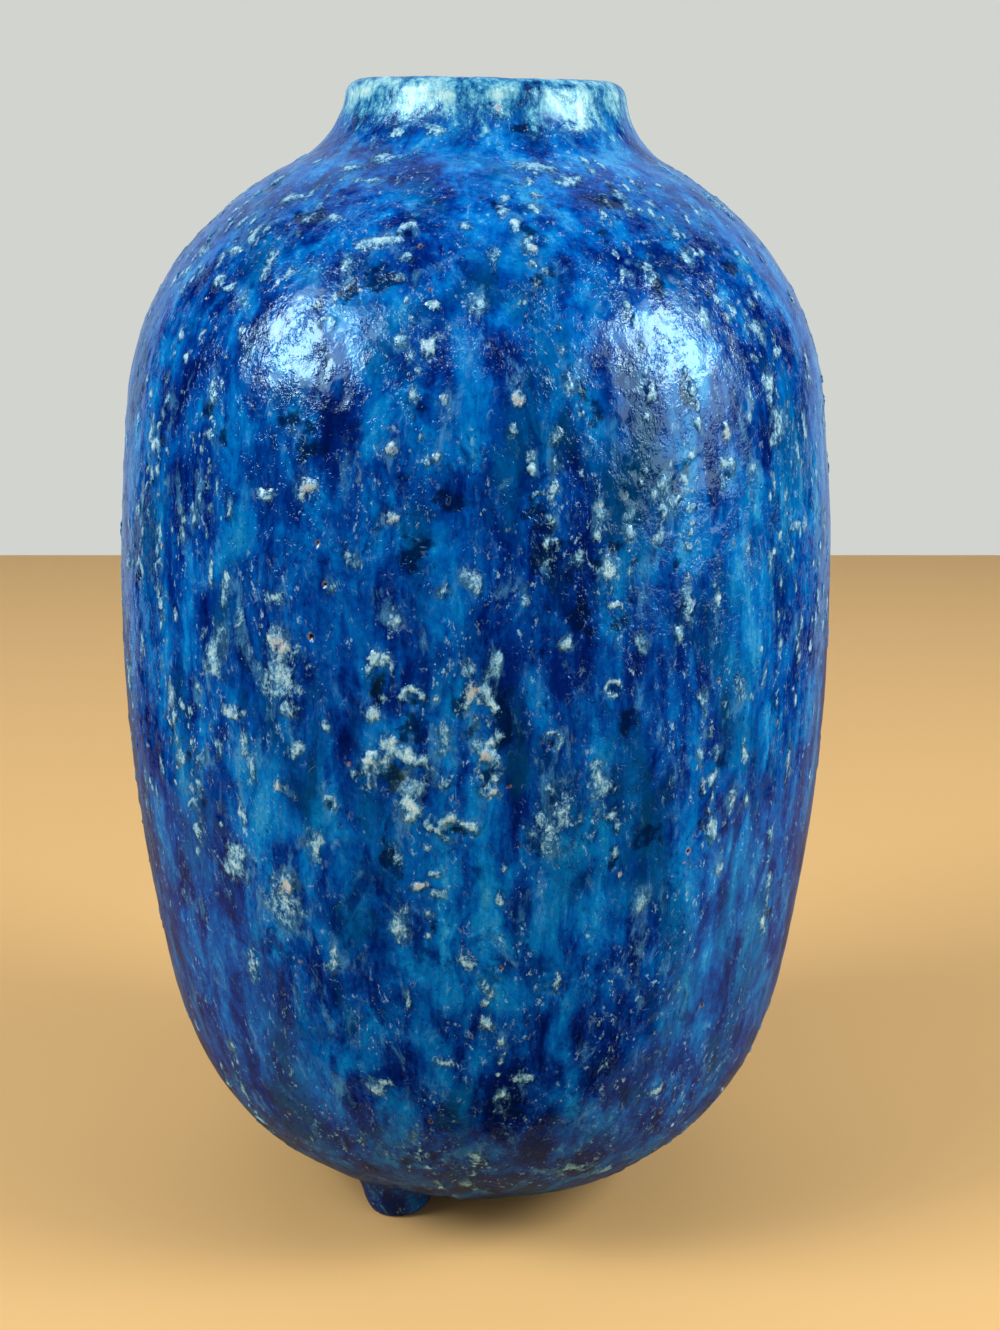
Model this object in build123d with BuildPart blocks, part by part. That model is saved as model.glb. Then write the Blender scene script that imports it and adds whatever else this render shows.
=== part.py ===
from build123d import *
import os
from math import acos, asin, cos, degrees, radians, sin, sqrt

os.makedirs("parts", exist_ok=True)

# Body outline over the glaze: tangent curves that climb from the flat underside to the crown
underside_height = 4.6
base_radius = 15.4
foot_curve_radius = 49.0
lower_curve_radius = 98.0
side_curve_radius = 378.5
shoulder_curve_radius = 54.8
foot_curve_turn = 70.0
lower_curve_turn = 9.0
side_curve_turn = 18.0
shoulder_curve_turn = 42.8

# Neck: it stands on the round crown and leans a little to one side
neck_radius = 27.5
neck_curve_radius = 16.4
mouth_flare = 7.9
neck_lean = 1.3

# Layers, from the outside in
glaze = 1.2
wall = 4.6
liner = 0.8
bare_radius = 13.0

# Slip in the joints, and how far up the round crown the neck joint and the glaze breaks lie
belly_slip_thickness = 0.6
neck_slip_thickness = 0.6
neck_joint_share = 0.58
glaze_break_share = 0.8

# Feet: three buns on one circle, each flat and bare where it stands
foot_count = 3
foot_circle_radius = 27.5
foot_radius = 7.2
foot_pad_radius = 4.6
foot_bulge_height = 3.0
foot_glaze = 0.9
foot_glaze_line = 1.0
foot_slip_thickness = 0.4
first_foot_angle = -128.0

# Raised crusts of pale glaze: how wide and how proud the largest one is, and their facets
crust_radius = 4.6
crust_proud = 0.8
crust_sides = 7
crust_top_share = 0.6
crust_overrun = 0.5

# Each crust: share of a full turn, share of the outline from the bare base up, share of the radius
front_crust_shares = [
    (0.698, 0.79, 1),
    (0.711, 0.798, 0.7),
    (0.733, 0.722, 0.45),
    (0.682, 0.643, 0.6),
    (0.717, 0.623, 0.45),
    (0.801, 0.629, 0.45),
    (0.663, 0.631, 0.4),
    (0.635, 0.528, 0.65),
    (0.672, 0.555, 0.85),
    (0.677, 0.53, 1),
    (0.667, 0.449, 0.6),
    (0.65, 0.474, 0.5),
    (0.712, 0.514, 0.65),
    (0.718, 0.563, 0.45),
    (0.726, 0.471, 0.95),
    (0.733, 0.492, 0.6),
    (0.72, 0.449, 0.7),
    (0.757, 0.6, 0.35),
    (0.758, 0.552, 0.35),
    (0.76, 0.516, 0.45),
    (0.762, 0.472, 0.45),
    (0.806, 0.518, 0.5),
    (0.871, 0.504, 0.4),
    (0.855, 0.416, 0.55),
    (0.668, 0.386, 0.8),
    (0.676, 0.368, 0.6),
    (0.723, 0.316, 0.35),
    (0.802, 0.165, 0.45),
    (0.82, 0.157, 0.4),
    (0.689, 0.195, 0.35),
    (0.843, 0.229, 0.45),
    (0.745, 0.434, 0.8),
    (0.778, 0.487, 0.4),
    (0.88, 0.641, 0.35),
    (0.887, 0.584, 0.35),
    (0.78, 0.419, 0.5),
]
sides_with_crusts = 2

# Worked out from the sizes above
body_curves = [
    (foot_curve_radius, foot_curve_turn),
    (lower_curve_radius, lower_curve_turn),
    (side_curve_radius, side_curve_turn),
    (shoulder_curve_radius, shoulder_curve_turn),
]
body_turn = foot_curve_turn + lower_curve_turn + side_curve_turn + shoulder_curve_turn


def outline_end(turn_limit):
    """Radius and height where the body outline has turned by turn_limit degrees."""
    radius_here, height_here, turned = base_radius, underside_height, 0
    for curve_radius, curve_turn in body_curves:
        after = min(turned + curve_turn, turn_limit)
        radius_here += curve_radius * (sin(radians(after)) - sin(radians(turned)))
        height_here += curve_radius * (cos(radians(turned)) - cos(radians(after)))
        turned = after
    return radius_here, height_here


belly_height = outline_end(90)[1]
shoulder_radius, shoulder_height = outline_end(body_turn)
shoulder_angle = 180 - body_turn
crown_radius = shoulder_radius / sin(radians(shoulder_angle))
crown_height = shoulder_height - crown_radius * cos(radians(shoulder_angle))

neck_angle = degrees(asin((neck_radius + neck_curve_radius) / (crown_radius + neck_curve_radius)))
neck_turn = 90 - neck_angle - mouth_flare
wall_overall = wall + 2 * glaze
lip_radius = wall_overall / 2


def crown_rise(outer_radius, inner_radius, cut_thickness, share):
    """Height over the crown's middle where a flat cut meets only the round crown on both faces."""
    lowest = outer_radius * cos(radians(shoulder_angle - neck_lean))
    highest = inner_radius * cos(radians(neck_angle)) - cut_thickness
    return lowest + share * (highest - lowest)


clay_crown_radius = crown_radius - glaze
hollow_crown_radius = clay_crown_radius - wall
joint_rise = crown_rise(clay_crown_radius, hollow_crown_radius, neck_slip_thickness, neck_joint_share)
joint_top_rise = joint_rise + neck_slip_thickness
outer_break_rise = crown_rise(crown_radius, clay_crown_radius, 0, glaze_break_share)
inner_break_rise = crown_rise(hollow_crown_radius, hollow_crown_radius - glaze, 0, glaze_break_share)

# The neck leans about the middle of the round crown, so both meet on the same ball
lean_direction = (sin(radians(neck_lean)), 0, cos(radians(neck_lean)))
lean_axis = Axis((0, 0, crown_height), lean_direction)
crown_plane = Plane(origin=(0, 0, crown_height), z_dir=lean_direction)
neck_plane = Plane(
    origin=(0, 0, crown_height),
    x_dir=(cos(radians(neck_lean)), 0, -sin(radians(neck_lean))),
    z_dir=(0, -1, 0),
)


def body_path(inset, start_radius):
    """Draw the body outline up to the axis, moved in by inset, and return both ends."""
    step = Line((start_radius, underside_height + inset), (base_radius, underside_height + inset))
    first_point = step @ 0
    for curve_radius, curve_turn in body_curves:
        step = JernArc(step @ 1, step % 1, curve_radius - inset, curve_turn)
    top_point = (0, crown_height + crown_radius - inset)
    TangentArc(step @ 1, top_point, tangent=step % 1)
    return first_point, top_point


def body_shell(outer_inset, inner_inset, start_radius):
    """A turned layer of the body between two insets."""
    with BuildPart() as shell:
        with BuildSketch(Plane.XZ):
            with BuildLine():
                outer_start, outer_end = body_path(outer_inset, start_radius)
                inner_start, inner_end = body_path(inner_inset, start_radius)
                Line(outer_start, inner_start)
                Line(outer_end, inner_end)
            make_face()
        revolve(axis=Axis.Z)
    return shell.part


def body_form(inset):
    """The body as one filled form, to trim what sits on it."""
    with BuildPart() as form:
        with BuildSketch(Plane.XZ):
            with BuildLine():
                bottom_point, top_point = body_path(inset, 0)
                Line(top_point, bottom_point)
            make_face()
        revolve(axis=Axis.Z)
    return form.part


def neck_path(inset, outer_rise, inner_rise):
    """Draw up the neck, over the lip and down inside, moved in by inset, and return both ends."""
    outer_radius = crown_radius - inset
    inner_radius = crown_radius - wall_overall + inset
    outer_angle = degrees(acos(outer_rise / outer_radius))
    inner_angle = degrees(acos(inner_rise / inner_radius))
    start = (outer_radius * sin(radians(outer_angle)), outer_rise)
    direction = (-cos(radians(outer_angle)), sin(radians(outer_angle)))
    crown = JernArc(start, direction, outer_radius, outer_angle - neck_angle)
    neck = JernArc(crown @ 1, crown % 1, neck_curve_radius + inset, -neck_turn)
    lip = JernArc(neck @ 1, neck % 1, lip_radius - inset, 180)
    throat = JernArc(lip @ 1, lip % 1, neck_curve_radius + wall_overall - inset, neck_turn)
    inside = JernArc(throat @ 1, throat % 1, inner_radius, neck_angle - inner_angle)
    return start, inside @ 1


def foot_bun(pad_radius, side_radius):
    """Three buns that stand on the floor and run up into the body."""
    top = underside_height + glaze + wall + foot_radius
    with BuildPart() as buns:
        with BuildSketch(Plane.XZ):
            with BuildLine():
                base = Line((0, 0), (pad_radius, 0))
                side = Line((side_radius, top), (side_radius, foot_bulge_height))
                TangentArc(side @ 1, base @ 1, tangent=side % 1)
                Line(side @ 0, (0, top))
                Line((0, top), base @ 0)
            make_face()
        revolve(axis=Axis.Z)
    bun = buns.part
    with BuildPart() as ring:
        with PolarLocations(foot_circle_radius, foot_count, start_angle=first_foot_angle):
            add(bun)
    return ring.part


def crust(place, radius, proud, spin):
    """A low facetted plate that stands up at one place on the glaze."""
    with BuildPart() as plate:
        with BuildSketch(place.offset(-crust_overrun)):
            RegularPolygon(radius, crust_sides, rotation=spin)
        with BuildSketch(place.offset(proud)):
            RegularPolygon(radius * crust_top_share, crust_sides, rotation=spin)
        loft(ruled=True)
    return plate.part


clay_shell = body_shell(glaze, glaze + wall, 0)
clay_form = body_form(glaze)
slip_form = body_form(glaze - foot_slip_thickness)
glazed_form = body_form(0)
clay_buns = foot_bun(foot_pad_radius, foot_radius - foot_glaze)
glazed_buns = foot_bun(foot_pad_radius + foot_glaze, foot_radius)
belly_joint_plane = Plane.XY.offset(belly_height - belly_slip_thickness / 2)
belly_joint_top_plane = Plane.XY.offset(belly_height + belly_slip_thickness / 2)
neck_joint_plane = crown_plane.offset(joint_rise)
neck_joint_top_plane = crown_plane.offset(joint_top_rise)

# Floor and lower half of the body, up to the widest ring
with BuildPart() as lower_wall:
    add(clay_shell)
    split(bisect_by=belly_joint_plane, keep=Keep.BOTTOM)
lower_wall.part.label = "lower_wall"
export_step(lower_wall.part, "parts/lower_wall.step")

# Slip between the two halves
with BuildPart() as belly_slip:
    add(clay_shell)
    split(bisect_by=belly_joint_plane, keep=Keep.TOP)
    split(bisect_by=belly_joint_top_plane, keep=Keep.BOTTOM)
belly_slip.part.label = "belly_slip"
export_step(belly_slip.part, "parts/belly_slip.step")

# Upper half of the body, open where the neck stands
with BuildPart() as upper_wall:
    add(clay_shell)
    split(bisect_by=belly_joint_top_plane, keep=Keep.TOP)
    split(bisect_by=neck_joint_plane, keep=Keep.BOTTOM)
upper_wall.part.label = "upper_wall"
export_step(upper_wall.part, "parts/upper_wall.step")

# Slip under the neck ring
with BuildPart() as neck_slip:
    add(clay_shell)
    split(bisect_by=neck_joint_plane, keep=Keep.TOP)
    split(bisect_by=neck_joint_top_plane, keep=Keep.BOTTOM)
neck_slip.part.label = "neck_slip"
export_step(neck_slip.part, "parts/neck_slip.step")

# Neck ring with its rounded lip
with BuildPart() as neck_collar:
    with BuildSketch(neck_plane):
        with BuildLine():
            path_start, path_end = neck_path(glaze, joint_top_rise, joint_top_rise)
            Line(path_end, path_start)
        make_face()
    revolve(axis=lean_axis)
neck_collar.part.label = "neck_collar"
export_step(neck_collar.part, "parts/neck_collar.step")

# Feet, trimmed to the slip that holds them and numbered from left to right
with BuildPart() as feet:
    add(clay_buns)
    add(slip_form, mode=Mode.SUBTRACT)
for number, solid in enumerate(feet.part.solids().sort_by(Axis.X), start=1):
    with BuildPart() as foot:
        add(solid)
    foot.part.label = f"foot_{number}"
    export_step(foot.part, f"parts/foot_{number}.step")

# Slip pads between the feet and the body
with BuildPart() as feet_slip:
    add(clay_buns)
    add(slip_form, mode=Mode.INTERSECT)
    add(clay_form, mode=Mode.SUBTRACT)
feet_slip.part.label = "feet_slip"
export_step(feet_slip.part, "parts/feet_slip.step")

# Glaze on the sides of the feet, stopped short of the floor
with BuildPart() as feet_glaze:
    add(glazed_buns)
    split(bisect_by=Plane.XY.offset(foot_glaze_line), keep=Keep.TOP)
    add(clay_buns, mode=Mode.SUBTRACT)
    add(clay_form, mode=Mode.SUBTRACT)
feet_glaze.part.label = "feet_glaze"
export_step(feet_glaze.part, "parts/feet_glaze.step")

# Glaze coat of the body, from the bare middle of the underside to the crown
with BuildPart() as outer_glaze:
    add(body_shell(0, glaze, bare_radius))
    split(bisect_by=crown_plane.offset(outer_break_rise), keep=Keep.BOTTOM)
    add(glazed_buns, mode=Mode.SUBTRACT)
outer_glaze.part.label = "outer_glaze"
export_step(outer_glaze.part, "parts/outer_glaze.step")

# Paler glaze over the neck, the lip and into the mouth
with BuildPart() as neck_glaze:
    with BuildSketch(neck_plane):
        with BuildLine():
            face_start, face_end = neck_path(0, outer_break_rise, inner_break_rise)
            back_start, back_end = neck_path(glaze, outer_break_rise, inner_break_rise)
            Line(face_start, back_start)
            Line(face_end, back_end)
        make_face()
    revolve(axis=lean_axis)
neck_glaze.part.label = "neck_glaze"
export_step(neck_glaze.part, "parts/neck_glaze.step")

# Thin glaze liner of the inside
with BuildPart() as inner_glaze:
    add(body_shell(glaze + wall, glaze + wall + liner, 0))
    split(bisect_by=crown_plane.offset(inner_break_rise), keep=Keep.BOTTOM)
inner_glaze.part.label = "inner_glaze"
export_step(inner_glaze.part, "parts/inner_glaze.step")

# Raised crusts: low facetted plates of pale glaze that lie on the glaze coat
with BuildLine(Plane.XZ) as glaze_outline:
    body_path(0, bare_radius)
outline_wire = glaze_outline.wires()[0]
crusts = []
for side in range(sides_with_crusts):
    for turn_share, climb_share, size_share in front_crust_shares:
        turn = 360 * (turn_share + side / sides_with_crusts)
        on_outline = outline_wire @ climb_share
        along = outline_wire % climb_share
        outward = Vector(along.Z, 0, -along.X)
        place = Plane(
            origin=on_outline.rotate(Axis.Z, turn),
            x_dir=along.rotate(Axis.Z, turn),
            z_dir=outward.rotate(Axis.Z, turn),
        )
        crusts.append(crust(place, crust_radius * size_share, crust_proud * sqrt(size_share), turn))
with BuildPart() as pale_crusts:
    add(crusts)
    add(glazed_form, mode=Mode.SUBTRACT)
pale_crusts.part.label = "pale_crusts"
export_step(pale_crusts.part, "parts/pale_crusts.step")
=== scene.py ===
import math

import bpy
import numpy as np
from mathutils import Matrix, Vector


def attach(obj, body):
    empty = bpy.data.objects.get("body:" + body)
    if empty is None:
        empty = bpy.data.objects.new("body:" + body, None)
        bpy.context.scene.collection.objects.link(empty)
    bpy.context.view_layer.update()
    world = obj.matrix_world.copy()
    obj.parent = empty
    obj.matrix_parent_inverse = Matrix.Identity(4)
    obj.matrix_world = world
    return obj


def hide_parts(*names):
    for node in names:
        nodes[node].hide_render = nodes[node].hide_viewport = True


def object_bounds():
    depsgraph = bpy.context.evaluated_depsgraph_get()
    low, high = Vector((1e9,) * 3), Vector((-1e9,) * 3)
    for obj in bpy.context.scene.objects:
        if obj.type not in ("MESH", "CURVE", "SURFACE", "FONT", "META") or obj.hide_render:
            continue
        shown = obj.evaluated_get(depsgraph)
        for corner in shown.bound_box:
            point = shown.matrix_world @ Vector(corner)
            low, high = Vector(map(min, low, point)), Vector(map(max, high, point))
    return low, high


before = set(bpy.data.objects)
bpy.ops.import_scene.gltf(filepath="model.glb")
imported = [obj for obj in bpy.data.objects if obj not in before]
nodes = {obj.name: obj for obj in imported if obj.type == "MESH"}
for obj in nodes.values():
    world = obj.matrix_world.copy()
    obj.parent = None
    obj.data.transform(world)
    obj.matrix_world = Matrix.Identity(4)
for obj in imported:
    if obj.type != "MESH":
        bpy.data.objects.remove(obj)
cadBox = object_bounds()
mm = 0.001
print("frame loaded:", len(nodes), "nodes")


# Shared helpers

def tone(red, green, blue):
    # a screen colour, 0 to 255, as the linear values that sockets hold
    shares = [value / 255 for value in (red, green, blue)]
    linear = [s / 12.92 if s <= 0.04045 else ((s + 0.055) / 1.055) ** 2.4 for s in shares]
    return (*linear, 1.0)


def smoothStep(values, low, high):
    t = np.clip((values - low) / (high - low), 0, 1)
    return t * t * (3 - 2 * t)


def softNoise(points, size, seed):
    # smooth noise, about -1 to 1, whose lumps are size millimetres across
    dice = np.random.default_rng(seed)
    order = dice.permutation(256)
    slopes = dice.normal(size=(256, 3))
    slopes /= np.linalg.norm(slopes, axis=1)[:, None]
    spots = points / size
    cell = np.floor(spots).astype(int)
    inside = spots - cell
    ease = inside ** 3 * (inside * (inside * 6 - 15) + 10)
    total = np.zeros(len(points))
    for dx in (0, 1):
        rowX = order[(cell[:, 0] + dx) % 256]
        shareX = ease[:, 0] if dx else 1 - ease[:, 0]
        for dy in (0, 1):
            rowY = order[(rowX + cell[:, 1] + dy) % 256]
            shareY = ease[:, 1] if dy else 1 - ease[:, 1]
            for dz in (0, 1):
                slope = slopes[order[(rowY + cell[:, 2] + dz) % 256]]
                shareZ = ease[:, 2] if dz else 1 - ease[:, 2]
                offset = inside - (dx, dy, dz)
                total += np.einsum("ij,ij->i", slope, offset) * shareX * shareY * shareZ
    return total * 1.6


def layeredNoise(points, size, layers, seed, keep=0.55):
    total, weight = np.zeros(len(points)), 0
    for layer in range(layers):
        total += softNoise(points, size / 2 ** layer, seed + layer) * keep ** layer
        weight += keep ** layer
    return total / weight


def meshPiece(name, points, quads, normals=None):
    # a mesh object from arrays in millimetres
    mesh = bpy.data.meshes.new(name)
    mesh.vertices.add(len(points))
    mesh.vertices.foreach_set("co", (points * mm).astype(np.float32).ravel())
    mesh.loops.add(quads.size)
    mesh.loops.foreach_set("vertex_index", quads.astype(np.int32).ravel())
    mesh.polygons.add(len(quads))
    mesh.polygons.foreach_set("loop_start", np.arange(0, quads.size, quads.shape[1], dtype=np.int32))
    mesh.update(calc_edges=True)
    mesh.shade_smooth()
    if normals is not None:
        mesh.normals_split_custom_set_from_vertices(normals.astype(np.float32))
    piece = bpy.data.objects.new(name, mesh)
    bpy.context.scene.collection.objects.link(piece)
    return piece


def keepField(piece, name, values):
    # one number or one vector for each vertex, for the materials to read
    if values.ndim == 1:
        layer = piece.data.attributes.new(name, "FLOAT", "POINT")
        layer.data.foreach_set("value", values.astype(np.float32))
    else:
        layer = piece.data.attributes.new(name, "FLOAT_VECTOR", "POINT")
        layer.data.foreach_set("vector", values.astype(np.float32).ravel())


# The jar's outline, as it was thrown

jarShape = {
    "undersideHeight": 4.6,
    "bareRadius": 13.0,
    "baseRadius": 15.4,
    "curves": [(49.0, 70.0), (98.0, 9.0), (378.5, 18.0), (54.8, 42.8)],  # radius, turn in degrees
    "neckRadius": 27.5,
    "neckCurve": 16.4,
    "mouthFlare": 7.9,
    "neckLean": 1.3,
    "leanFrom": 40,       # degrees from the crown's top where the lean sets in
    "wall": 7.0,
    "glaze": 1.2,
    "edgeShare": 0.6,     # radius of the glaze's rounded lower edge, as a share of its thickness
    "edgeRows": 7,
    "edgeTuck": 0.3,      # how far the edge starts above the glaze's inner face
    "endTuck": 0.9,       # how far the last row turns into the clay
    "rowStep": 0.52,
    "columns": 900,
    "glazeBreak": 31.35,  # degrees from the crown's top, where the body's glaze meets the neck's
    "inside": 0.3,        # how far down inside the neck's glaze runs, as a share of the round crown
}


def arcRows(centre, radius, start, end, step, facing=1):
    # points and outward directions along an arc of the outline, angles from straight down
    count = max(3, int(abs(end - start) * math.pi / 180 * radius / step))
    angle = np.radians(np.linspace(start, end, count + 1)[1:])
    direction = np.stack([np.sin(angle), -np.cos(angle)], 1)
    return np.array(centre) + radius * direction, facing * direction


def jarOutline(shape):
    step = shape["rowStep"]
    height = shape["undersideHeight"]
    bare, base = shape["bareRadius"], shape["baseRadius"]
    # the glaze's rounded edge round the bare middle of the underside
    edge = shape["glaze"] * shape["edgeShare"]
    corner = np.radians(np.linspace(-90, 0, shape["edgeRows"]))
    direction = np.stack([np.sin(corner), -np.cos(corner)], 1)
    rows = [
        (np.array([[bare, height + shape["glaze"] + shape["edgeTuck"]]]), np.array([[-1.0, 0.0]])),
        (np.array([bare + edge, height + edge]) + edge * direction, direction),
    ]
    underside = np.linspace(bare + edge, base, 5)[1:]
    rows.append((np.stack([underside, np.full(4, height)], 1), np.tile([0.0, -1.0], (4, 1))))
    # the body's tangent curves
    at, turned = np.array([base, height]), 0
    for radius, turn in shape["curves"]:
        angle = math.radians(turned)
        centre = at - radius * np.array([math.sin(angle), -math.cos(angle)])
        rows.append(arcRows(centre, radius, turned, turned + turn, step))
        at, turned = rows[-1][0][-1], turned + turn
    # the round crown
    crownRadius = at[0] / math.sin(math.radians(180 - turned))
    crown = np.array([0, at[1] + crownRadius * math.cos(math.radians(turned))])
    curve = shape["neckCurve"]
    neckAngle = math.degrees(math.asin((shape["neckRadius"] + curve) / (crownRadius + curve)))
    rows.append(arcRows(crown, crownRadius, turned, 180 - neckAngle, step))
    # the hollow curve of the neck, the lip and the throat, in finer rows
    lean = math.radians(neckAngle)
    neckCentre = crown + (crownRadius + curve) * np.array([math.sin(lean), math.cos(lean)])
    flare = math.radians(shape["mouthFlare"])
    neckEnd = -90 + shape["mouthFlare"]
    lip = shape["wall"] / 2
    lipCentre = neckCentre - (curve + lip) * np.array([math.cos(flare), math.sin(flare)])
    rows.append(arcRows(neckCentre, curve, -neckAngle, neckEnd, step * 0.8, -1))
    rows.append(arcRows(lipCentre, lip, 180 + neckEnd, 360 + neckEnd, step * 0.7))
    rows.append(arcRows(neckCentre, curve + shape["wall"], neckEnd, -neckAngle, step))
    innerEnd = neckAngle + shape["inside"] * (180 - turned - neckAngle)
    rows.append(arcRows(crown, crownRadius - shape["wall"], 180 - neckAngle, 180 - innerEnd, step, -1))
    # the glaze's hidden end turns into the clay
    points, facing = rows[-1]
    rows.append((points[-1:] - facing[-1:] * shape["endTuck"], facing[-1:]))
    return np.concatenate([r[0] for r in rows]), np.concatenate([r[1] for r in rows]), crown, crownRadius


outline, outlineFacing, crownCentre, crownRadius = jarOutline(jarShape)
lipRow = int(outline[:, 1].argmax())
alongRow = np.concatenate([[0], np.cumsum(np.hypot(*np.diff(outline, axis=0).T))])
crownPolar = np.degrees(np.arctan2(outline[:, 0], outline[:, 1] - crownCentre[1]))
onCrown = np.abs(np.hypot(outline[:, 0], outline[:, 1] - crownCentre[1]) - crownRadius) < 0.01
breakRow = int(np.flatnonzero(onCrown & (crownPolar <= jarShape["glazeBreak"]))[0])
print("outline:", len(outline), "rows, the glazes meet at row", breakRow, "lip at row", lipRow)


# The whole glaze coat as one grid of points round the jar

rowCount, columnCount = len(outline), jarShape["columns"]
turnAngle = np.linspace(0, 2 * math.pi, columnCount, endpoint=False) - math.pi / 2
leanShare = smoothStep(-crownPolar, -jarShape["leanFrom"], -jarShape["glazeBreak"] - 0.5)
leanShare[breakRow:] = 1
leanShare[outline[:, 1] < crownCentre[1]] = 0
leanAngle = np.radians(jarShape["neckLean"]) * leanShare


def turned(rows, facing=False):
    # rows of the outline, turned round the axis, with the neck's lean
    radial, height = rows[:, :1], rows[:, 1:] - (0 if facing else crownCentre[1])
    x = radial * np.cos(turnAngle)
    y = radial * np.sin(turnAngle)
    z = np.broadcast_to(height, x.shape)
    leanCos, leanSin = np.cos(leanAngle)[:, None], np.sin(leanAngle)[:, None]
    grid = np.stack([x * leanCos + z * leanSin, y, z * leanCos - x * leanSin], -1)
    return grid if facing else grid + (0, 0, crownCentre[1])


smoothGrid = turned(outline)
facingGrid = turned(outlineFacing, True)
alongGrid = np.broadcast_to(alongRow[:, None], smoothGrid.shape[:2])
flat = smoothGrid.reshape(-1, 3)
flow = np.concatenate([flat[:, :2], alongGrid.reshape(-1, 1)], 1)  # its third way runs up the wall
print("grid:", rowCount, "x", columnCount)


# The pale crusts and the dark and milky patches: degrees to the right of the front, then height,
# half width and half height in millimetres

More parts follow.
